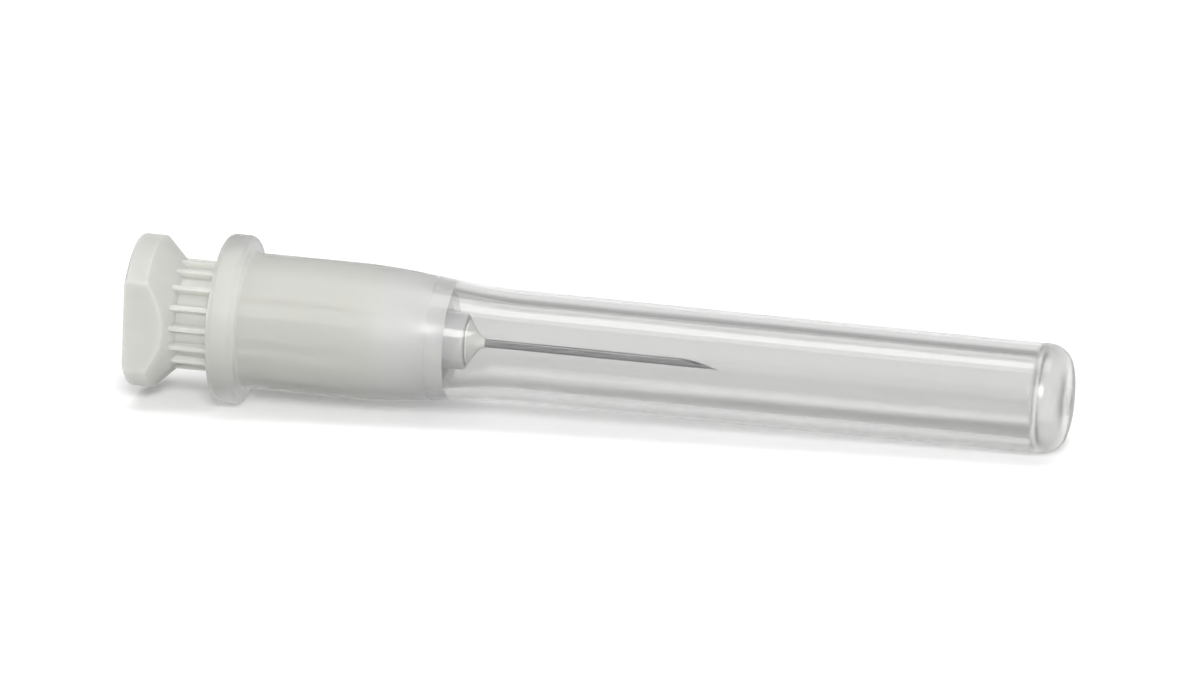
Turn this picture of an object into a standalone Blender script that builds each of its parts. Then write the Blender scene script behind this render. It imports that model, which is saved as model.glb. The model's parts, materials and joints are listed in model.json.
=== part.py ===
"""A capped hypodermic needle: finned hub, bevelled steel cannula, adhesive bead and clear push-on shield.

Lengths are in metres. Every piece is turned about its own Z axis, which is the needle's axis, with the
hub's rear face at height 0 and the point of the needle up. An empty then lays the needle down along
world X, as it comes to rest on a table.
"""

from itertools import product
from math import atan2, cos, pi, radians, sin, tan

import bmesh
import bpy
from mathutils import Matrix, Vector

# Hub, from its rear face to its tip
SOCKET_MOUTH_DIAMETER = 0.0043
SOCKET_TAPER = 0.06  # loss of diameter for each unit of depth
SOCKET_DEPTH = 0.0090
SOCKET_CHAMFER = 0.00012
FUNNEL_LENGTH = 0.0016
HUB_WALL = 0.00037  # between the socket's mouth and the bottom of the grooves
LUG_HEIGHT = 0.00138  # how far a lug stands out of the grooved body
LUG_THICKNESS = 0.0012
LUG_CHAMFER = 0.00015
LUG_RAMP_LENGTH = 0.0014
LUG_FLAT_DEPTH = 0.0008  # cut away from the round flange on each side
FIN_COUNT = 16
FIN_WIDTH = 0.00034
FIN_HEIGHT = 0.00031
FIN_ROOT_DEPTH = 0.00012  # sunk into the body, so that fin and body are one solid
FIN_RUNOUT = 0.0005
FINNED_LENGTH = 0.0098  # from the end of the lug ramp
SHOULDER_LENGTH = 0.0013
NOSE_STEP = 0.00009  # the nose starts this much slimmer than the grooved body
NOSE_TAPER = 0.00012  # loss of radius along the nose
NOSE_LENGTH = 0.0026
NOSE_ROUND = 0.00035
BOSS_DIAMETER = 0.0029
BOSS_LENGTH = 0.0011
BOSS_ROUND = 0.0002
GLUE_WELL_DIAMETER = 0.0016
GLUE_WELL_DEPTH = 0.0009

# Cannula: 27 gauge, 13 mm out of the hub
CANNULA_DIAMETER = 0.00041
CANNULA_BORE = 0.00021
CANNULA_EXPOSED = 0.0130
CANNULA_SETBACK = 0.00005  # from the small end of the funnel
BEVEL_ANGLE = radians(12)
SIDE_BEVEL_ANGLE = radians(18)
SIDE_BEVEL_TURN = radians(25)
SIDE_BEVEL_SETBACK = 0.00002

# Adhesive bead
BEAD_DIAMETER = 0.0023
BEAD_HEIGHT = 0.0009
BEAD_EDGE = 0.00012
BOND_GAP = 0.00001

# Shield, from its mouth to its closed end
NECK_SHOWING = 0.0019  # finned hub between the lug ramp and the shield
FIT_CLEARANCE = 0.00004  # between the fins and the sleeve
MOUTH_CHAMFER = 0.00015
SLEEVE_WALL = 0.00059
COLLAR_HEIGHT = 0.00085
COLLAR_LENGTH = 0.00145
COLLAR_ROUND = 0.0004
TAPER_LEAD = 0.0009  # the outer taper starts this far before the fins end
TAPER_RUNOUT = 0.0037  # from the end of the nose to the tube
TUBE_STEP = 0.00011  # the tube's bore is this much slimmer than the end of the nose
TUBE_WALL = 0.00067
TUBE_NARROWING = 0.00007
TIP_ROOM = 0.0168  # free bore beyond the point of the needle
END_WALL = 0.0013
END_ROUND = 0.0012
BORE_END_ROUND = 0.0005
GATE_DIAMETER = 0.0014
GATE_DEPTH = 0.0002
KEY_COUNT = 8
KEY_WIDTH = 0.0003
KEY_HEIGHT = 0.00018
KEY_ROOT_DEPTH = 0.00015
KEY_SETBACK = 0.0009  # from each end of the sleeve's straight bore

# Facets of the turned surfaces
SEGMENTS = 48
CANNULA_SEGMENTS = 24
FIRST_EDGE = 0.5  # of a facet past +X, so that a facet faces the table
SHIELD_FIRST_EDGE = 0.0  # an edge faces the table, and the shield rests on it without rolling
ARC_STEPS = 5
CURVE_STEPS = 12
SHARP_ANGLE = radians(32)
MERGE_DISTANCE = 0.000001

# Radii that follow from the sizes above
core_radius = SOCKET_MOUTH_DIAMETER / 2 + HUB_WALL
fin_radius = core_radius + FIN_HEIGHT
lug_radius = core_radius + LUG_HEIGHT
flat_distance = lug_radius - LUG_FLAT_DEPTH
cannula_radius = CANNULA_DIAMETER / 2
bonded_hole_radius = cannula_radius + BOND_GAP
nose_root_radius = core_radius - NOSE_STEP
nose_end_radius = nose_root_radius - NOSE_TAPER
glue_well_radius = GLUE_WELL_DIAMETER / 2
sleeve_bore_radius = fin_radius + FIT_CLEARANCE
sleeve_radius = sleeve_bore_radius + SLEEVE_WALL
collar_radius = sleeve_radius + COLLAR_HEIGHT
tube_bore_radius = nose_end_radius - TUBE_STEP
tube_radius = tube_bore_radius + TUBE_WALL

# Heights along the needle's axis that follow from the sizes above
ramp_end = LUG_THICKNESS + LUG_RAMP_LENGTH
fins_end = ramp_end + FINNED_LENGTH
shoulder_end = fins_end + SHOULDER_LENGTH
nose_end = shoulder_end + NOSE_LENGTH
boss_end = nose_end + BOSS_LENGTH
glue_well_floor = boss_end - GLUE_WELL_DEPTH
funnel_end = SOCKET_DEPTH + FUNNEL_LENGTH
needle_point = boss_end + CANNULA_EXPOSED
shield_mouth = ramp_end + NECK_SHOWING
collar_end = shield_mouth + COLLAR_LENGTH
taper_start = fins_end - TAPER_LEAD
taper_end = nose_end + TAPER_RUNOUT
bore_end = needle_point + TIP_ROOM
shield_end = bore_end + END_WALL


def clear_scene():
    for thing in list(bpy.data.objects):
        bpy.data.objects.remove(thing, do_unlink=True)


def surface_finish(name, colour, roughness, metallic=0.0, transmission=0.0):
    material = bpy.data.materials.new(name)
    material.use_nodes = True
    surface = material.node_tree.nodes["Principled BSDF"]
    surface.inputs["Base Color"].default_value = (*colour, 1.0)
    surface.inputs["Roughness"].default_value = roughness
    surface.inputs["Metallic"].default_value = metallic
    surface.inputs["Transmission Weight"].default_value = transmission
    return material


def arc(radius, height, bend, start, end):
    """Points on a quarter round of radius `bend` about (radius, height), by angle from outward."""
    points = []
    for step in range(ARC_STEPS + 1):
        angle = start + (end - start) * step / ARC_STEPS
        points.append((radius + bend * cos(angle), height + bend * sin(angle)))
    return points


def s_curve(start, end):
    """Points that leave `start` and reach `end` along the axis, with a smooth change of radius between."""
    points = []
    for step in range(CURVE_STEPS + 1):
        share = step / CURVE_STEPS
        blend = share * share * (3 - 2 * share)
        radius = start[0] + (end[0] - start[0]) * blend
        points.append((radius, start[1] + (end[1] - start[1]) * share))
    return points


def revolve(name, outline, closed, steps=SEGMENTS, first_edge=FIRST_EDGE):
    """Turn an outline of (radius, height) points about Z, from an edge `first_edge` of a facet past +X."""
    angle = 2 * pi * first_edge / steps
    mesh = bpy.data.meshes.new(name)
    corners = [(r * cos(angle), r * sin(angle), height) for r, height in outline]
    edges = [(i, i + 1) for i in range(len(outline) - 1)]
    if closed:
        edges.append((len(outline) - 1, 0))
    mesh.from_pydata(corners, edges, [])
    turned = bpy.data.objects.new(name, mesh)
    bpy.context.scene.collection.objects.link(turned)
    screw = turned.modifiers.new("Turn", "SCREW")
    screw.axis = "Z"
    screw.angle = 2 * pi
    screw.steps = steps
    screw.render_steps = steps
    screw.use_merge_vertices = True
    screw.merge_threshold = MERGE_DISTANCE
    return turned


def tool_object(name, form):
    """An object that only shapes another: it is drawn as wire and never rendered."""
    mesh = bpy.data.meshes.new(name)
    form.to_mesh(mesh)
    form.free()
    tool = bpy.data.objects.new(name, mesh)
    tool.hide_render = True
    tool.display_type = "WIRE"
    bpy.context.scene.collection.objects.link(tool)
    return tool


def radial_plates(name, outline, count, width, first_angle=0.0):
    """Plates with an outline of (radius, height) points, standing round the axis."""
    form = bmesh.new()
    for index in range(count):
        corners = [form.verts.new((r, -width / 2, height)) for r, height in outline]
        side = form.faces.new(corners)
        thickened = bmesh.ops.extrude_face_region(form, geom=[side])["geom"]
        far_corners = [item for item in thickened if isinstance(item, bmesh.types.BMVert)]
        bmesh.ops.translate(form, verts=far_corners, vec=(0, width, 0))
        turn = Matrix.Rotation(first_angle + 2 * pi * index / count, 3, "Z")
        bmesh.ops.rotate(form, verts=corners + far_corners, matrix=turn)
    bmesh.ops.recalc_face_normals(form, faces=form.faces)
    return tool_object(name, form)


def plane_block(name, point, outward, reach):
    """A block that starts at the plane through `point` and fills what lies in the direction `outward`."""
    form = bmesh.new()
    bmesh.ops.create_cube(form, size=reach)
    bmesh.ops.translate(form, verts=form.verts, vec=(0, 0, reach / 2))
    facing = Vector(outward).to_track_quat("Z", "Y").to_matrix().to_4x4()
    bmesh.ops.transform(form, verts=form.verts, matrix=Matrix.Translation(point) @ facing)
    return tool_object(name, form)


def combine(target, tool, operation):
    boolean = target.modifiers.new(tool.name, "BOOLEAN")
    boolean.operation = operation
    boolean.solver = "EXACT"
    boolean.object = tool


def finish(piece, material, origin_height):
    """Keep the shaped mesh with its origin on the axis, drop its tools, and shade it smooth."""
    bpy.context.view_layer.update()
    graph = bpy.context.evaluated_depsgraph_get()
    shaped = bpy.data.meshes.new_from_object(piece.evaluated_get(graph))
    tools = [modifier.object for modifier in piece.modifiers if modifier.type == "BOOLEAN"]
    piece.modifiers.clear()
    piece.data = shaped
    for tool in tools:
        bpy.data.objects.remove(tool, do_unlink=True)
    shaped.transform(Matrix.Translation((0, 0, -origin_height)))
    piece.location.z = origin_height
    shaped.shade_smooth()
    shaped.set_sharp_from_angle(angle=SHARP_ANGLE)
    shaped.materials.clear()
    shaped.materials.append(material)
    return piece


def hub_outline():
    """The hub's section: down its outer side from the boss to the lugs, then up through the socket."""
    boss_radius = BOSS_DIAMETER / 2
    mouth_radius = SOCKET_MOUTH_DIAMETER / 2
    throat_radius = mouth_radius - SOCKET_TAPER * SOCKET_DEPTH / 2
    outline = arc(boss_radius - BOSS_ROUND, boss_end - BOSS_ROUND, BOSS_ROUND, pi / 2, 0)
    outline.append((boss_radius, nose_end))
    outline += arc(nose_end_radius - NOSE_ROUND, nose_end - NOSE_ROUND, NOSE_ROUND, pi / 2, 0)
    outline += s_curve((nose_root_radius, shoulder_end), (core_radius, fins_end))
    outline.append((core_radius, ramp_end))
    outline.append((lug_radius, LUG_THICKNESS))
    outline.append((lug_radius, LUG_CHAMFER))
    outline.append((lug_radius - LUG_CHAMFER, 0))
    outline.append((mouth_radius + SOCKET_CHAMFER, 0))
    outline.append((mouth_radius, SOCKET_CHAMFER))
    outline.append((throat_radius, SOCKET_DEPTH))
    outline.append((bonded_hole_radius, funnel_end))
    outline.append((bonded_hole_radius, glue_well_floor))
    outline.append((glue_well_radius, glue_well_floor))
    outline.append((glue_well_radius, boss_end))
    return outline


def make_hub():
    """The finned hub: turned body, fins joined on, two sides of the flange cut flat to leave the lugs."""
    hub = revolve("hub", hub_outline(), closed=True)
    fin_root = core_radius - FIN_ROOT_DEPTH
    fin_outline = [
        (fin_root, LUG_THICKNESS),
        (fin_radius, LUG_THICKNESS),
        (fin_radius, fins_end - FIN_RUNOUT),
        (fin_root, fins_end),
    ]
    combine(hub, radial_plates("fins", fin_outline, FIN_COUNT, FIN_WIDTH), "UNION")
    for side in (-1, 1):
        flat = plane_block(f"flat {side}", (0, side * flat_distance, 0), (0, side, 0), 4 * lug_radius)
        combine(hub, flat, "DIFFERENCE")
    return finish(hub, surface_finish("hub plastic", (0.50, 0.50, 0.46), 0.45), 0)


def ground_face(angle, turn):
    """The outward direction of a face ground at `angle` to the axis and turned about it."""
    return (-cos(angle) * cos(turn), -cos(angle) * sin(turn), sin(angle))


def make_cannula():
    """The steel tube, with one long grind across it and a shorter one on each side that makes the point."""
    rear = funnel_end + CANNULA_SETBACK
    blank_end = needle_point + CANNULA_DIAMETER
    outline = [
        (cannula_radius, blank_end),
        (cannula_radius, rear),
        (CANNULA_BORE / 2, rear),
        (CANNULA_BORE / 2, blank_end),
    ]
    cannula = revolve("cannula", outline, closed=True, steps=CANNULA_SEGMENTS)
    reach = 4 * CANNULA_DIAMETER / tan(BEVEL_ANGLE)
    point = Vector((cannula_radius, 0, needle_point))
    side_point = point - Vector((0, 0, SIDE_BEVEL_SETBACK))
    grinds = [
        ("long grind", point, BEVEL_ANGLE, 0),
        ("left grind", side_point, SIDE_BEVEL_ANGLE, -SIDE_BEVEL_TURN),
        ("right grind", side_point, SIDE_BEVEL_ANGLE, SIDE_BEVEL_TURN),
    ]
    for name, through, angle, turn in grinds:
        combine(cannula, plane_block(name, through, ground_face(angle, turn), reach), "DIFFERENCE")
    return finish(cannula, surface_finish("steel", (0.55, 0.55, 0.56), 0.25, metallic=1.0), rear)


def make_adhesive():
    """The cured bead: a ring that fills the glue well and climbs the cannula in a hollow curve."""
    bead_radius = BEAD_DIAMETER / 2
    foot = boss_end + BOND_GAP
    outline = []
    for step in range(CURVE_STEPS + 1):
        share = step / CURVE_STEPS
        hollow = (1 - cos(share * pi / 2)) * (bead_radius - bonded_hole_radius - BEAD_EDGE)
        rise = (1 - share) * (BEAD_HEIGHT - BEAD_EDGE)
        outline.append((bonded_hole_radius + BEAD_EDGE / 2 + hollow, foot + BEAD_EDGE + rise))
    outline.append((bead_radius, foot + BEAD_EDGE / 2))
    outline.append((bead_radius - BEAD_EDGE / 2, foot))
    outline.append((glue_well_radius - BOND_GAP, foot))
    outline.append((glue_well_radius - BOND_GAP, glue_well_floor + BOND_GAP))
    outline.append((bonded_hole_radius, glue_well_floor + BOND_GAP))
    outline.append((bonded_hole_radius, foot + BEAD_HEIGHT))
    adhesive = revolve("adhesive", outline, closed=True, steps=CANNULA_SEGMENTS)
    cured = surface_finish("cured adhesive", (0.72, 0.70, 0.62), 0.2, transmission=0.5)
    return finish(adhesive, cured, glue_well_floor)


def shield_outer_outline():
    """From the gate mark on the closed end, down the tube, taper and sleeve, and round the collar."""
    gate_radius = GATE_DIAMETER / 2
    end_radius = tube_radius - TUBE_NARROWING
    outline = [
        (0, shield_end - GATE_DEPTH),
        (gate_radius, shield_end - GATE_DEPTH),
        (gate_radius, shield_end),
    ]
    outline += arc(end_radius - END_ROUND, shield_end - END_ROUND, END_ROUND, pi / 2, 0)
    outline += s_curve((tube_radius, taper_end), (sleeve_radius, taper_start))
    outline.append((sleeve_radius, collar_end))
    collar_middle = collar_radius - COLLAR_ROUND
    outline += arc(collar_middle, collar_end - COLLAR_ROUND, COLLAR_ROUND, pi / 2, 0)
    outline += arc(collar_middle, shield_mouth + COLLAR_ROUND, COLLAR_ROUND, 0, -pi / 2)
    return outline


def shield_bore_outline():
    """From the mouth, up the sleeve's bore and the taper, to the rounded end of the tube's bore."""
    bore_taper_start = fins_end + MOUTH_CHAMFER
    outline = [
        (sleeve_bore_radius + MOUTH_CHAMFER, shield_mouth),
        (sleeve_bore_radius, shield_mouth + MOUTH_CHAMFER),
    ]
    outline += s_curve((sleeve_bore_radius, bore_taper_start), (tube_bore_radius, taper_end))
    bore_end_radius = tube_bore_radius - TUBE_NARROWING
    outline += arc(bore_end_radius - BORE_END_ROUND, bore_end - BORE_END_ROUND, BORE_END_ROUND, 0, pi / 2)
    outline.append((0, bore_end))
    return outline


def make_shield():
    """The clear cap: one turned wall, with keys inside its sleeve that stand between the hub's fins."""
    outline = shield_outer_outline() + shield_bore_outline()
    shield = revolve("shield", outline, closed=False, first_edge=SHIELD_FIRST_EDGE)
    key_root = sleeve_bore_radius + KEY_ROOT_DEPTH
    key_face = sleeve_bore_radius - KEY_HEIGHT
    key_outline = [
        (key_face, shield_mouth + KEY_SETBACK + KEY_HEIGHT),
        (key_root, shield_mouth + KEY_SETBACK - KEY_ROOT_DEPTH),
        (key_root, fins_end - KEY_SETBACK + KEY_ROOT_DEPTH),
        (key_face, fins_end - KEY_SETBACK - KEY_HEIGHT),
    ]
    between_fins = pi / FIN_COUNT
    keys = radial_plates("keys", key_outline, KEY_COUNT, KEY_WIDTH, between_fins)
    combine(shield, keys, "UNION")
    clear = surface_finish("clear plastic", (0.80, 0.81, 0.80), 0.15, transmission=0.8)
    return finish(shield, clear, shield_mouth)


def resting_tilt(outline):
    """The angle at which an outline touches a table both behind its middle and ahead of it."""
    middle = (shield_mouth + shield_end) / 2
    behind = [point for point in outline if point[1] < middle]
    ahead = [point for point in outline if point[1] > middle]

    def radius_at_middle(pair):
        (rear_radius, rear_height), (front_radius, front_height) = pair
        share = (middle - rear_height) / (front_height - rear_height)
        return rear_radius + (front_radius - rear_radius) * share

    rear, front = max(product(behind, ahead), key=radius_at_middle)
    return atan2(rear[0] - front[0], front[1] - rear[1])


def lay_down(pieces):
    """Parent the pieces to an empty on the needle's axis and lay it along X, on the table and centred."""
    axis = bpy.data.objects.new("needle axis", None)
    axis.rotation_euler = (0, pi / 2 + resting_tilt(shield_outer_outline()), 0)
    bpy.context.scene.collection.objects.link(axis)
    for piece in pieces:
        piece.parent = axis
    bpy.context.view_layer.update()
    corners = [piece.matrix_world @ vertex.co for piece in pieces for vertex in piece.data.vertices]
    low = [min(corner[i] for corner in corners) for i in range(3)]
    high = [max(corner[i] for corner in corners) for i in range(3)]
    axis.location = (-(low[0] + high[0]) / 2, -(low[1] + high[1]) / 2, -low[2])


clear_scene()
lay_down([make_hub(), make_cannula(), make_adhesive(), make_shield()])
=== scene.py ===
"""Looks of the capped hypodermic needle: moulded plastics, drawn steel and cured adhesive, in a studio."""

import json
from math import cos, hypot, pi, radians, sin, tan

import bmesh
import bpy
from mathutils import Matrix, Vector


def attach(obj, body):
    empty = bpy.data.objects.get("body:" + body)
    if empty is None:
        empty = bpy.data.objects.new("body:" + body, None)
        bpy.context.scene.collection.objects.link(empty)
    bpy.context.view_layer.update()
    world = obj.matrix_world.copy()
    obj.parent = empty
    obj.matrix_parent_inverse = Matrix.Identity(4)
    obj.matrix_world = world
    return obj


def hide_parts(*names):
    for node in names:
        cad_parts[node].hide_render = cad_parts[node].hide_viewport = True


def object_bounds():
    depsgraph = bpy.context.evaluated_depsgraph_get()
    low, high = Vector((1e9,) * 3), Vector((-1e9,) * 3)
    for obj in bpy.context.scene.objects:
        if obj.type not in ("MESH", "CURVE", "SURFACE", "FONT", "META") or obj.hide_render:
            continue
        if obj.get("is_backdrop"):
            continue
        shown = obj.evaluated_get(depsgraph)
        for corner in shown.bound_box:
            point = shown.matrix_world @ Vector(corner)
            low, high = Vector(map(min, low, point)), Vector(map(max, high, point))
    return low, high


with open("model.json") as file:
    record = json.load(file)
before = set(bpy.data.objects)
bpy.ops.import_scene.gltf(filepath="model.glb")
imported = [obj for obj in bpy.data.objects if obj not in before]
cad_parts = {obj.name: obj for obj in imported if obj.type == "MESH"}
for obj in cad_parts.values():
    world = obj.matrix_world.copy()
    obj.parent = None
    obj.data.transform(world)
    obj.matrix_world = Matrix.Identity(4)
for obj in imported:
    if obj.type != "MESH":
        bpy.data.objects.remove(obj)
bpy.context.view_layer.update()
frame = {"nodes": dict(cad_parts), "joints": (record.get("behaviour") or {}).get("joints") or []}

# Hub, in metres from its rear face to its tip
SOCKET_MOUTH_RADIUS = 0.00215
SOCKET_TAPER = 0.03  # loss of radius for each unit of depth
SOCKET_DEPTH = 0.0090
FUNNEL_END = 0.0106
EDGE_ROUND = 0.00012
CORE_RADIUS = 0.00252
LUG_RADIUS = 0.00390
LUG_THICKNESS = 0.0012
LUG_ROUND = 0.00022
RAMP_END = 0.0026
FLAT_DISTANCE = 0.00310
SMALLEST_SINE = 0.1  # keeps the flats' reach finite; they cut nothing where the sine is smaller
FIN_COUNT = 16
FIN_RADIUS = 0.00283
FIN_WIDTH = 0.00034
FIN_EDGE = 0.00007  # how far round a fin's flank spreads
FINS_END = 0.0124
FIN_RUNOUT = 0.0005
SHOULDER_END = 0.0137
NOSE_ROOT_RADIUS = 0.00243
NOSE_END_RADIUS = 0.00231
NOSE_END = 0.0163
NOSE_ROUND = 0.00035
BOSS_RADIUS = 0.00145
BOSS_END = 0.0174
BOSS_ROUND = 0.0002
GLUE_WELL_RADIUS = 0.0008
GLUE_WELL_FLOOR = 0.0165

# Cannula
CANNULA_RADIUS = 0.000205
CANNULA_BORE_RADIUS = 0.000105
CANNULA_REAR = 0.01065
NEEDLE_POINT = 0.0304
CANNULA_RINGS = [0, 0.02, 0.5, 0.9, 0.96, 0.99, 1]  # shares of its length that have a ring
BEVEL_ANGLE = radians(12)
SIDE_BEVEL_ANGLE = radians(18)
SIDE_BEVEL_TURN = radians(25)
SIDE_BEVEL_SETBACK = 0.00002

# Adhesive bead
BOND_GAP = 0.00001
BEAD_RADIUS = 0.00115
BEAD_HEIGHT = 0.0009
BEAD_EDGE = 0.00012

# Shield, from its mouth to its closed end
SHIELD_MOUTH = 0.0045
SLEEVE_BORE_RADIUS = 0.00287
SLEEVE_RADIUS = 0.00346
COLLAR_RADIUS = 0.00431
COLLAR_END = 0.00595
COLLAR_ROUND = 0.0004
COLLAR_FILLET = 0.00015
TAPER_START = 0.0115
TAPER_END = 0.0200
BORE_TAPER_START = 0.01255
TUBE_RADIUS = 0.00287
TUBE_BORE_RADIUS = 0.00220
TUBE_NARROWING = 0.00007
BORE_END = 0.0472
SHIELD_END = 0.0485
END_ROUND = 0.0012
BORE_END_ROUND = 0.0005
GATE_RADIUS = 0.0007
GATE_DEPTH = 0.0002
KEY_COUNT = 8
KEY_WIDTH = 0.0003
KEY_HEIGHT = 0.00018
KEY_START = 0.0054
KEY_END = 0.0115
KEY_RUNOUT = 0.0003
FROST_END = 0.01645  # the cavity round the hub is frosted up to here

# Samples round the axis, and steps along curves
AROUND = 320
CANNULA_AROUND = 64
BEAD_AROUND = 96
ROUND_STEPS = 8
CURVE_STEPS = 28
SHARP_ANGLE = radians(35)
MERGE_DISTANCE = 1e-8

# Colours, as linear red, green, blue and alpha
HUB_DARK = (0.43, 0.43, 0.408, 1)
HUB_PALE = (0.48, 0.48, 0.458, 1)
# painted light: the hub's tip is painted paler, to make up for the dim light that reaches it inside the
# cap
HUB_TIP_PAINTED_LIGHT = (0.58, 0.58, 0.58, 1)
STEEL_DARK = (0.30, 0.30, 0.305, 1)
STEEL_PALE = (0.38, 0.38, 0.385, 1)
RESIN_DARK = (0.93, 0.925, 0.89, 1)
RESIN_PALE = (0.97, 0.965, 0.94, 1)
CLEAR_DARK = (0.735, 0.735, 0.730, 1)
CLEAR_PALE = (0.765, 0.765, 0.760, 1)
# painted shade: the closed end is painted greyer for the darker view through the thick solid end
CLOSED_END_PAINTED_SHADE = (0.66, 0.66, 0.65, 1)
FROST_DARK = (0.66, 0.66, 0.62, 1)
FROST_PALE = (0.72, 0.72, 0.68, 1)
# painted light: the frost round the nose is painted paler and neutral for the brighter look there
FROST_NOSE_PAINTED_LIGHT = (0.73, 0.73, 0.73, 1)
PAPER_DARK = (0.87, 0.87, 0.87, 1)
PAPER_PALE = (0.89, 0.89, 0.89, 1)
WHITE = (1.0, 1.0, 1.0, 1)

# What a see-through piece leaves of the light that falls through it
RESIN_SHADE = (0.85, 0.85, 0.85, 1)
CLEAR_SHADE = (0.45, 0.45, 0.45, 1)
FROST_SHADE = (0.70, 0.70, 0.70, 1)

PLASTIC_IOR = 1.49
RESIN_IOR = 1.5

# Photograph's viewing direction, and the framing
CAMERA_TURN = radians(12.2)  # the needle's closed end points this much towards the camera
CAMERA_RISE = radians(17)
CAMERA_DISTANCE = 0.94
SENSOR_WIDTH = 36.0
FRAME_SHARE = 0.78  # of the picture's width that the needle fills

# Studio
FLOOR_SIZE = 8.0
FLOOR_GAP = 0.00002
FLOOR_GLOW = 0.08  # light that the floor adds of its own, where it is seen directly
AMBIENT = 0.66  # how much of the backdrop's brightness lights the scene
HORIZON_TOP = 0.20  # the backdrop is white up to this height, by the sine of its angle
CEILING_START = 0.55  # and the studio is as dark as its ceiling from here up
CEILING_LEVEL = 0.50  # against 1 at the horizon
SOFT_BOXES = [
    # name, place, size, watts
    ("front_box", (0.15, -0.66, 0.42), (0.20, 0.24), 4.8),
    ("overhead_box", (0.0, 0.04, 0.76), (0.90, 0.40), 4.0),
]


def needle_axes():
    """The needle's own frame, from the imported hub: Z from its rear face to the point, X downwards."""
    along = Vector(frame["joints"][0]["axis"]).normalized()
    side = Vector((0, 1, 0))
    down = side.cross(along)
    turn = Matrix((down, side, along)).transposed()
    places = [turn.transposed() @ vertex.co for vertex in frame["nodes"]["hub"].data.vertices]
    low = [min(place[i] for place in places) for i in range(3)]
    high = [max(place[i] for place in places) for i in range(3)]
    rear_centre = turn @ Vector(((low[0] + high[0]) / 2, (low[1] + high[1]) / 2, low[2]))
    return Matrix.Translation(rear_centre) @ turn.to_4x4()


needle_frame = needle_axes()


def arc(radius, height, bend, start, end):
    """Points on a round of radius `bend` about (radius, height), by angle from the outward direction."""
    angles = [start + (end - start) * step / ROUND_STEPS for step in range(ROUND_STEPS + 1)]
    return [(radius + bend * cos(angle), height + bend * sin(angle)) for angle in angles]


def line(start, end, steps):
    """Points after `start`, up to and including `end`."""
    shares = [step / steps for step in range(1, steps + 1)]
    return [tuple(a + (b - a) * share for a, b in zip(start, end)) for share in shares]


def smoothstep(low, high, value):
    """0 up to `low`, 1 from `high`, smooth between."""
    share = min(max((value - low) / (high - low), 0.0), 1.0)
    return share * share * (3 - 2 * share)


def s_curve(start, end):
    """Points that leave `start` and reach `end` along the axis, with a smooth change of radius between."""
    points = []
    for step in range(CURVE_STEPS + 1):
        share = step / CURVE_STEPS
        radius = start[0] + (end[0] - start[0]) * smoothstep(0, 1, share)
        points.append((radius, start[1] + (end[1] - start[1]) * share))
    return points


def nearest_ridge(angle, count, first=0.0):
    """The angle from here to the nearest of `count` ridges spaced evenly round the axis."""
    pitch = 2 * pi / count
    return (angle - first + pitch / 2) % pitch - pitch / 2


def ridge(angle, radius, count, width, edge, first=0.0):
    """How much of a ridge stands at this angle, from 0 beside it to 1 on its crest."""
    aside = abs(nearest_ridge(angle, count, first)) * radius
    return 1 - smoothstep(width / 2 - edge, width / 2 + edge, aside)


def soft_lower(first, second, spread):
    """The lower of two sizes, eased over `spread` where they meet."""
    gap = min(max(0.5 + (second - first) / (2 * spread), 0.0), 1.0)
    return second + (first - second) * gap - spread * gap * (1 - gap)


def turned(name, rings, samples, closed, shape=None):
    """A wall through rings of (radius, height), round the needle's axis.

    `shape` may change a radius by its height and angle. A closed wall joins its last ring to its first.
    """
    form = bmesh.new()
    loops = []
    for radius, height in rings:
        loop = []
        for index in range(samples):
            angle = 2 * pi * index / samples
            reach = shape(radius, height, angle) if shape else radius
            loop.append(form.verts.new((reach * cos(angle), reach * sin(angle), height)))
        loops.append(loop)
    pairs = list(zip(loops, loops[1:]))
    if closed:
        pairs.append((loops[-1], loops[0]))
    for upper, lower in pairs:
        for index in range(samples):
            after = (index + 1) % samples
            form.faces.new((upper[index], lower[index], lower[after], upper[after]))
    bmesh.ops.remove_doubles(form, verts=form.verts, dist=MERGE_DISTANCE)
    bmesh.ops.dissolve_degenerate(form, edges=form.edges, dist=MERGE_DISTANCE)
    return placed(name, form)


def placed(name, form):
    """The finished mesh as an object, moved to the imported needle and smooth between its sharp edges."""
    mesh = bpy.data.meshes.new(name)
    bmesh.ops.recalc_face_normals(form, faces=form.faces)
    form.to_mesh(mesh)
    form.free()
    mesh.transform(needle_frame)
    mesh.shade_smooth()
    mesh.set_sharp_from_angle(angle=SHARP_ANGLE)
    piece = bpy.data.objects.new(name, mesh)
    bpy.context.scene.collection.objects.link(piece)
    return piece


def hub_outside():
    """Down the hub's outer side, from the boss over the nose and the fins to the lugs."""
    rings = [(GLUE_WELL_RADIUS, BOSS_END)]
    rings += arc(BOSS_RADIUS - BOSS_ROUND, BOSS_END - BOSS_ROUND, BOSS_ROUND, pi / 2, 0)
    rings += line(rings[-1], (BOSS_RADIUS, NOSE_END), steps=3)
    rings += arc(NOSE_END_RADIUS - NOSE_ROUND, NOSE_END - NOSE_ROUND, NOSE_ROUND, pi / 2, 0)
    rings += s_curve((NOSE_ROOT_RADIUS, SHOULDER_END), (CORE_RADIUS, FINS_END))
    rings += line(rings[-1], (CORE_RADIUS, FINS_END - 2 * FIN_RUNOUT), steps=16)
    rings += line(rings[-1], (CORE_RADIUS, RAMP_END), steps=24)
    rings += line(rings[-1], (LUG_RADIUS, LUG_THICKNESS), steps=28)
    rings += arc(LUG_RADIUS - LUG_ROUND, LUG_ROUND, LUG_ROUND, 0, -pi / 2)
    return rings


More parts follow.
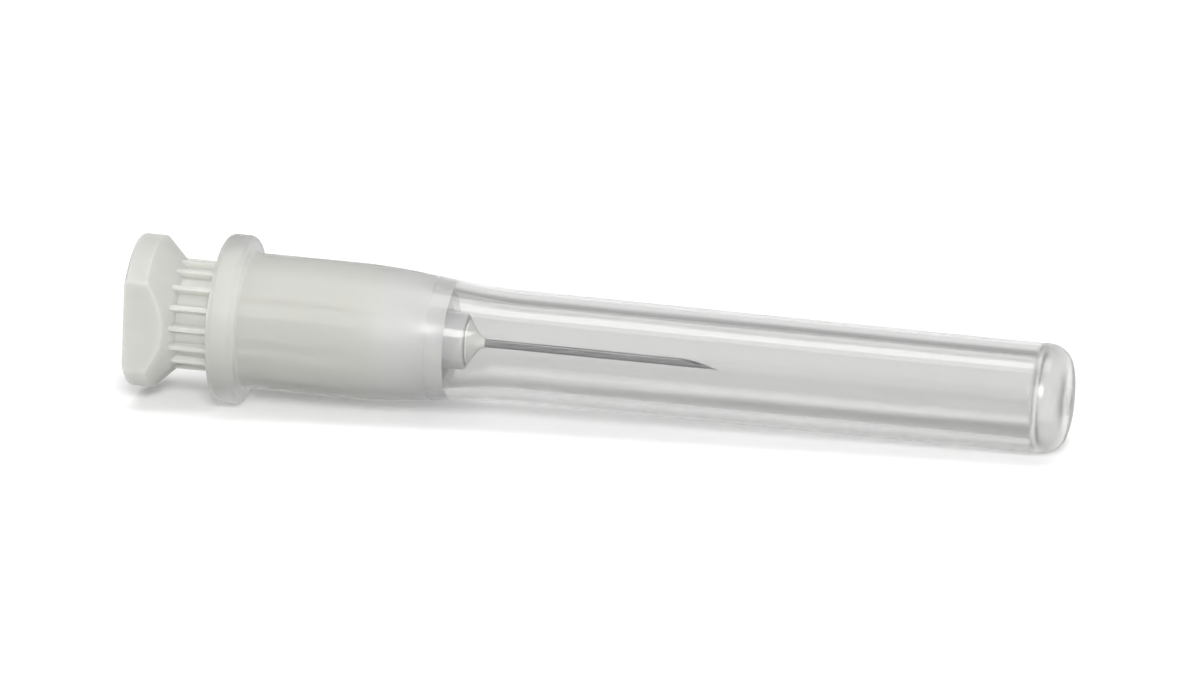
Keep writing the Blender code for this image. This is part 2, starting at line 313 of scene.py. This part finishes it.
def hub_inside():
    """In through the socket's mouth, up its taper and funnel, and out through the glue well."""
    throat = SOCKET_MOUTH_RADIUS - SOCKET_TAPER * SOCKET_DEPTH
    hole = CANNULA_RADIUS + BOND_GAP
    rings = arc(SOCKET_MOUTH_RADIUS + EDGE_ROUND, EDGE_ROUND, EDGE_ROUND, -pi / 2, -pi)
    rings += line(rings[-1], (throat, SOCKET_DEPTH), steps=6)
    rings += line(rings[-1], (hole, FUNNEL_END), steps=6)
    rings += line(rings[-1], (hole, GLUE_WELL_FLOOR), steps=2)
    rings += line(rings[-1], (GLUE_WELL_RADIUS, GLUE_WELL_FLOOR), steps=2)
    return rings


def hub_shape(radius, height, angle):
    """Adds the fins to the grooved body and cuts the two flats off the flange."""
    if radius > CORE_RADIUS - FIN_EDGE and height < FINS_END:
        standing = ridge(angle, FIN_RADIUS, FIN_COUNT, FIN_WIDTH, FIN_EDGE)
        standing *= 1 - smoothstep(FINS_END - FIN_RUNOUT, FINS_END, height)
        radius = max(radius, CORE_RADIUS + (FIN_RADIUS - CORE_RADIUS) * standing)
    if radius > FLAT_DISTANCE:
        radius = soft_lower(radius, FLAT_DISTANCE / max(abs(sin(angle)), SMALLEST_SINE), EDGE_ROUND)
    return radius


def make_hub():
    """The finned lock hub, outside and in."""
    return turned("hub_body", hub_outside() + hub_inside(), AROUND, closed=True, shape=hub_shape)


def ground_height(across, aside):
    """How high the cannula reaches at this place in its section, under its three ground faces."""
    lowest = NEEDLE_POINT
    grinds = [
        (BEVEL_ANGLE, 0, 0),
        (SIDE_BEVEL_ANGLE, -SIDE_BEVEL_TURN, SIDE_BEVEL_SETBACK),
        (SIDE_BEVEL_ANGLE, SIDE_BEVEL_TURN, SIDE_BEVEL_SETBACK),
    ]
    for angle, turn, setback in grinds:
        back = (CANNULA_RADIUS - across) * cos(turn) - aside * sin(turn)
        lowest = min(lowest, NEEDLE_POINT - setback - back / tan(angle))
    return lowest


def make_cannula():
    """The steel tube, with its rings bent to the ground faces at the point."""
    form = bmesh.new()
    walls = [(CANNULA_RADIUS, share) for share in CANNULA_RINGS]
    walls += [(CANNULA_BORE_RADIUS, share) for share in reversed(CANNULA_RINGS)]
    loops = []
    for radius, share in walls:
        loop = []
        for index in range(CANNULA_AROUND):
            angle = 2 * pi * index / CANNULA_AROUND
            across, aside = radius * cos(angle), radius * sin(angle)
            top = ground_height(across, aside)
            loop.append(form.verts.new((across, aside, CANNULA_REAR + (top - CANNULA_REAR) * share)))
        loops.append(loop)
    for lower, upper in zip(loops, loops[1:] + loops[:1]):
        for index in range(CANNULA_AROUND):
            after = (index + 1) % CANNULA_AROUND
            form.faces.new((lower[index], lower[after], upper[after], upper[index]))
    return placed("cannula_tube", form)


def make_bead():
    """The cured bead: fills the glue well and climbs the cannula in a hollow curve."""
    hole = CANNULA_RADIUS + BOND_GAP
    foot = BOSS_END + BOND_GAP
    rings = []
    for step in range(CURVE_STEPS + 1):
        share = step / CURVE_STEPS
        hollow = (1 - cos(share * pi / 2)) * (BEAD_RADIUS - hole - BEAD_EDGE)
        rise = (1 - share) * (BEAD_HEIGHT - BEAD_EDGE)
        rings.append((hole + BEAD_EDGE / 2 + hollow, foot + BEAD_EDGE + rise))
    rings += arc(BEAD_RADIUS - BEAD_EDGE / 2, foot + BEAD_EDGE / 2, BEAD_EDGE / 2, pi / 4, -pi / 2)
    well = GLUE_WELL_RADIUS - BOND_GAP
    rings += [(well, foot), (well, GLUE_WELL_FLOOR + BOND_GAP)]
    rings += [(hole, GLUE_WELL_FLOOR + BOND_GAP), (hole, foot + BEAD_HEIGHT)]
    return turned("adhesive_bead", rings, BEAD_AROUND, closed=True)


def shield_outside():
    """From the gate mark on the closed end, down the tube, taper and sleeve, and round the collar."""
    end_radius = TUBE_RADIUS - TUBE_NARROWING
    gate_edge = GATE_DEPTH / 2
    rings = [(0, SHIELD_END - GATE_DEPTH)]
    rings += line(rings[-1], (GATE_RADIUS - gate_edge, SHIELD_END - GATE_DEPTH), steps=6)
    rings += line(rings[-1], (GATE_RADIUS, SHIELD_END - gate_edge), steps=3)
    rings += line(rings[-1], (GATE_RADIUS + gate_edge, SHIELD_END), steps=3)
    rings += arc(end_radius - END_ROUND, SHIELD_END - END_ROUND, END_ROUND, pi / 2, 0)
    rings += line(rings[-1], (TUBE_RADIUS, TAPER_END), steps=12)
    rings += s_curve((TUBE_RADIUS, TAPER_END), (SLEEVE_RADIUS, TAPER_START))[1:]
    fillet_height = COLLAR_END + COLLAR_FILLET
    rings += line(rings[-1], (SLEEVE_RADIUS, fillet_height), steps=4)
    rings += arc(SLEEVE_RADIUS + COLLAR_FILLET, fillet_height, COLLAR_FILLET, pi, 3 * pi / 2)[1:]
    collar_middle = COLLAR_RADIUS - COLLAR_ROUND
    rings += arc(collar_middle, COLLAR_END - COLLAR_ROUND, COLLAR_ROUND, pi / 2, 0)
    rings += arc(collar_middle, SHIELD_MOUTH + COLLAR_ROUND, COLLAR_ROUND, 0, -pi / 2)
    return rings


def shield_inside():
    """From the mouth, up the sleeve's bore and the taper, to the rounded end of the tube's bore."""
    end_radius = TUBE_BORE_RADIUS - TUBE_NARROWING
    rings = arc(SLEEVE_BORE_RADIUS + EDGE_ROUND, SHIELD_MOUTH + EDGE_ROUND, EDGE_ROUND, -pi / 2, -pi)
    rings += line(rings[-1], (SLEEVE_BORE_RADIUS, KEY_START), steps=2)
    rings += line(rings[-1], (SLEEVE_BORE_RADIUS, KEY_START + KEY_RUNOUT), steps=6)
    rings += line(rings[-1], (SLEEVE_BORE_RADIUS, KEY_END - KEY_RUNOUT), steps=2)
    rings += line(rings[-1], (SLEEVE_BORE_RADIUS, KEY_END), steps=6)
    rings += s_curve((SLEEVE_BORE_RADIUS, BORE_TAPER_START), (TUBE_BORE_RADIUS, TAPER_END))
    bend = BORE_END_ROUND
    rings += line(rings[-1], (end_radius, BORE_END - bend), steps=12)
    rings += arc(end_radius - bend, BORE_END - bend, bend, 0, pi / 2)[1:]
    rings += line(rings[-1], (0, BORE_END), steps=5)
    return rings


def bore_shape(radius, height, angle):
    """Raises the keys that stand between the hub's fins, inside the sleeve."""
    if radius > SLEEVE_BORE_RADIUS or not KEY_START < height < KEY_END:
        return radius
    standing = ridge(angle, radius, KEY_COUNT, KEY_WIDTH, FIN_EDGE, first=pi / FIN_COUNT)
    standing *= smoothstep(KEY_START, KEY_START + KEY_RUNOUT, height)
    standing *= 1 - smoothstep(KEY_END - KEY_RUNOUT, KEY_END, height)
    return radius - KEY_HEIGHT * standing


def make_shield():
    """The clear cap; the faces of the cavity round the hub take its second finish."""
    rings = shield_outside() + shield_inside()
    shield = turned("shield_cap", rings, AROUND, closed=False, shape=bore_shape)
    inward = needle_frame.inverted()
    for face in shield.data.polygons:
        place = inward @ face.center
        in_bore = hypot(place.x, place.y) < SLEEVE_BORE_RADIUS + EDGE_ROUND
        face.material_index = int(in_bore and place.z < FROST_END)
    return shield


class Wire:
    """The output of a shader node. An expression on it adds Math nodes."""

    def __init__(self, tree, socket):
        self.tree = tree
        self.socket = socket

    def maths(self, operation, first, second):
        node = self.tree.nodes.new("ShaderNodeMath")
        node.operation = operation
        connect(self.tree, node.inputs[0], first)
        connect(self.tree, node.inputs[1], second)
        return Wire(self.tree, node.outputs[0])

    def __add__(self, other):
        return self.maths("ADD", self, other)

    def __sub__(self, other):
        return self.maths("SUBTRACT", self, other)

    def __rsub__(self, other):
        return self.maths("SUBTRACT", other, self)

    def __mul__(self, other):
        return self.maths("MULTIPLY", self, other)

    __radd__ = __add__
    __rmul__ = __mul__


def connect(tree, socket, value):
    if isinstance(value, Wire):
        tree.links.new(value.socket, socket)
    else:
        socket.default_value = value


def named(sockets, name):
    """The socket in use that has this name: a Mix node keeps a hidden one for each kind of value."""
    return next(socket for socket in sockets if socket.enabled and socket.name == name)


class Finish:
    """The nodes of a material or of the world."""

    def __init__(self, tree):
        self.tree = tree
        self.tree.nodes.clear()

    def node(self, kind, output=None, settings=None, in_order=(), **sockets):
        """Adds a node: first its settings, then its sockets, in order or by name with _ for a space."""
        node = self.tree.nodes.new("ShaderNode" + kind)
        for setting, value in (settings or {}).items():
            setattr(node, setting, value)
        for socket, value in zip(node.inputs, in_order):
            connect(self.tree, socket, value)
        for name, value in sockets.items():
            connect(self.tree, named(node.inputs, name.replace("_", " ")), value)
        return Wire(self.tree, named(node.outputs, output)) if output else None

    def along_needle(self, stretch=(1, 1, 1)):
        """A surface point's place in the needle's own frame, Z along it, stretched for streaks."""
        place = self.node("TexCoord", "Object")
        inward = needle_frame.inverted()
        turned_back = self.node(
            "Mapping", "Vector", Vector=place, Location=inward.translation, Rotation=inward.to_euler()
        )
        return self.node("Mapping", "Vector", Vector=turned_back, Scale=stretch)

    def height(self):
        """How far along the needle a surface point is, from the hub's rear face."""
        return self.node("SeparateXYZ", "Z", Vector=self.along_needle())

    def noise(self, scale, stretch=(1, 1, 1), detail=2.0, roughness=0.5):
        place = self.along_needle(stretch)
        return self.node("TexNoise", "Fac", Vector=place, Scale=scale, Detail=detail, Roughness=roughness)

    def fade(self, value, low, high):
        """0 up to `low`, 1 from `high`, smooth between."""
        smooth = {"interpolation_type": "SMOOTHSTEP"}
        return self.node("MapRange", "Result", smooth, Value=value, From_Min=low, From_Max=high)

    def blend(self, share, first, second):
        return self.node("Mix", "Result", {"data_type": "RGBA"}, Factor=share, A=first, B=second)

    def bump(self, height, distance):
        return self.node("Bump", "Normal", Height=height, Distance=distance, Strength=1.0)

    def light_path(self, kind):
        return self.node("LightPath", "Is " + kind + " Ray")

    def surface(self, shader, kind="Material"):
        self.node("Output" + kind, Surface=shader)

    def see_through_surface(self, shader, shade):
        """The shader, with a pale shadow: rays that look for a light pass through, dimmed by `shade`."""
        dimmed = self.node("BsdfTransparent", "BSDF", Color=shade)
        in_order = (self.light_path("Shadow"), shader, dimmed)
        self.surface(self.node("MixShader", "Shader", in_order=in_order))


def material(name, build):
    made = bpy.data.materials.new(name)
    made.use_nodes = True
    build(Finish(made.node_tree))
    return made


def hub_plastic(finish):
    """Satin polypropylene, faintly green-grey and a little translucent; its tip is painted paler, as
    painted light for the dim light that reaches it inside the cap.
    """
    mottle = finish.noise(scale=900, detail=3.0)
    flow = finish.noise(scale=700, stretch=(1, 1, 0.15))
    grain = finish.noise(scale=9000, detail=3.0)
    # painted light: towards its end the nose blends to a paler grey, for the dim light that reaches it
    # inside the cap
    tip = finish.fade(finish.height(), NOSE_END - NOSE_ROUND, NOSE_END)
    colour = finish.blend(tip, finish.blend(mottle, HUB_DARK, HUB_PALE), HUB_TIP_PAINTED_LIGHT)
    finish.surface(finish.node(
        "BsdfPrincipled", "BSDF", Base_Color=colour, Roughness=0.48 + 0.12 * flow, IOR=PLASTIC_IOR,
        Subsurface_Weight=0.7, Subsurface_Radius=(1.0, 1.0, 0.85), Subsurface_Scale=0.0012,
        Normal=finish.bump(grain + 0.6 * flow, distance=0.000006),
    ))


def drawn_steel(finish):
    """Stainless tube with fine draw lines along it."""
    lines = finish.noise(scale=30000, stretch=(1, 1, 0.01), detail=3.0, roughness=0.6)
    blotch = finish.noise(scale=2500)
    finish.surface(finish.node(
        "BsdfPrincipled", "BSDF", Base_Color=finish.blend(blotch, STEEL_DARK, STEEL_PALE), Metallic=1.0,
        Roughness=0.22 + 0.16 * lines, Normal=finish.bump(lines, distance=0.0000015),
    ))


def cured_adhesive(finish):
    """Cloudy resin, faintly yellow."""
    cloud = finish.noise(scale=4000)
    resin = finish.node(
        "BsdfPrincipled", "BSDF", Base_Color=finish.blend(cloud, RESIN_DARK, RESIN_PALE), Roughness=0.2,
        IOR=RESIN_IOR, Transmission_Weight=0.2, Normal=finish.bump(cloud, distance=0.000004),
    )
    finish.see_through_surface(resin, RESIN_SHADE)


def clear_plastic(finish):
    """Clear, faintly grey plastic: glossy on the tube, satin on the sleeve and at the closed end, which is
    painted greyer as painted shade.
    """
    height = finish.height()
    satin = 1 - finish.fade(height, SHOULDER_END, BOSS_END)
    closed_end = finish.fade(height, BORE_END - BORE_END_ROUND, BORE_END)
    flow = finish.noise(scale=500, stretch=(1, 1, 0.12), detail=3.0)
    # painted shade: the closed end blends to a greyer colour for the darker view through it
    colour = finish.blend(closed_end, finish.blend(flow, CLEAR_DARK, CLEAR_PALE), CLOSED_END_PAINTED_SHADE)
    plastic = finish.node(
        "BsdfPrincipled", "BSDF", Base_Color=colour, IOR=PLASTIC_IOR, Transmission_Weight=1.0,
        Roughness=0.035 + 0.50 * satin + 0.20 * closed_end + 0.03 * flow,
        Normal=finish.bump(flow, distance=0.00002),
    )
    finish.see_through_surface(plastic, CLEAR_SHADE)


def frosted_plastic(finish):
    """The same plastic in the matt cavity round the hub, which it blurs; painted a little paler round the
    nose, as painted light.
    """
    speckle = finish.noise(scale=3500, detail=3.0)
    # painted light: the frost is painted paler round the nose, past the fins
    nose = finish.fade(finish.height(), FINS_END, SHOULDER_END)
    colour = finish.blend(nose, finish.blend(speckle, FROST_DARK, FROST_PALE), FROST_NOSE_PAINTED_LIGHT)
    plastic = finish.node(
        "BsdfPrincipled", "BSDF", Base_Color=colour, Roughness=0.50 + 0.15 * speckle, IOR=PLASTIC_IOR,
        Transmission_Weight=0.5, Normal=finish.bump(speckle, distance=0.00001),
    )
    finish.see_through_surface(plastic, FROST_SHADE)


def seen_directly(finish):
    """1 for rays that show the background itself: straight, in gloss or through clear plastic."""
    seen = finish.light_path("Camera") + finish.light_path("Glossy") + finish.light_path("Transmission")
    return finish.node("Clamp", "Result", Value=seen)


def studio_floor(finish):
    """Pale floor, which renders white where no shadow falls on it."""
    paper = finish.noise(scale=60)
    matt = finish.node("BsdfDiffuse", "BSDF", Color=finish.blend(paper, PAPER_DARK, PAPER_PALE))
    glow = finish.node("Emission", "Emission", Color=WHITE, Strength=FLOOR_GLOW * seen_directly(finish))
    finish.surface(finish.node("AddShader", "Shader", in_order=(matt, glow)))


def make_floor():
    mesh = bpy.data.meshes.new("studio_floor")
    form = bmesh.new()
    corners = [(-1, -1), (1, -1), (1, 1), (-1, 1)]
    reach = FLOOR_SIZE / 2
    form.faces.new([form.verts.new((x * reach, y * reach, -FLOOR_GAP)) for x, y in corners])
    form.to_mesh(mesh)
    form.free()
    floor = bpy.data.objects.new("studio_floor", mesh)
    mesh.materials.append(material("studio_floor", studio_floor))
    bpy.context.scene.collection.objects.link(floor)
    floor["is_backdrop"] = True


def make_backdrop():
    """The world: white at the horizon, darker overhead, and dimmer as a light than it looks."""
    world = bpy.data.worlds.new("studio")
    world.use_nodes = True
    bpy.context.scene.world = world
    sky = Finish(world.node_tree)
    rise = sky.node("SeparateXYZ", "Z", Vector=sky.node("TexCoord", "Generated"))
    level = 1 - (1 - CEILING_LEVEL) * sky.fade(rise, HORIZON_TOP, CEILING_START)
    share = AMBIENT + (1 - AMBIENT) * seen_directly(sky)
    sky.surface(sky.node("Background", "Background", Color=WHITE, Strength=level * share), "World")


def make_soft_boxes():
    for name, place, size, power in SOFT_BOXES:
        lamp = bpy.data.lights.new(name, "AREA")
        lamp.shape = "RECTANGLE"
        lamp.size, lamp.size_y = size
        lamp.energy = power
        box = bpy.data.objects.new(name, lamp)
        box.location = place
        box.rotation_euler = (-Vector(place)).to_track_quat("-Z", "Y").to_euler()
        box.visible_camera = False
        bpy.context.scene.collection.objects.link(box)


def make_camera():
    """At the photograph's viewing angle, framed so that the needle fills its share of the width."""
    low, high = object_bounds()
    centre = (low + high) / 2
    back = Vector((
        sin(CAMERA_TURN) * cos(CAMERA_RISE), -cos(CAMERA_TURN) * cos(CAMERA_RISE), sin(CAMERA_RISE)
    ))
    view = bpy.data.cameras.new("camera")
    view.sensor_width = SENSOR_WIDTH
    view.lens = SENSOR_WIDTH * CAMERA_DISTANCE * FRAME_SHARE / ((high.x - low.x) * cos(CAMERA_TURN))
    camera = bpy.data.objects.new("camera", view)
    camera.location = centre + back * CAMERA_DISTANCE
    camera.rotation_euler = (-back).to_track_quat("-Z", "Y").to_euler()
    bpy.context.scene.collection.objects.link(camera)
    bpy.context.scene.camera = camera


PIECES = [
    # maker, body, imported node, finishes
    (make_hub, "needle", "hub", [hub_plastic]),
    (make_cannula, "needle", "cannula", [drawn_steel]),
    (make_bead, "needle", "adhesive", [cured_adhesive]),
    (make_shield, "shield", "shield", [clear_plastic, frosted_plastic]),
]
for make, body, node, finishes in PIECES:
    piece = make()
    for build in finishes:
        piece.data.materials.append(material(build.__name__, build))
    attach(piece, body)
    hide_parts(node)

make_floor()
make_backdrop()
make_soft_boxes()
make_camera()
bpy.context.scene.view_settings.view_transform = "Standard"
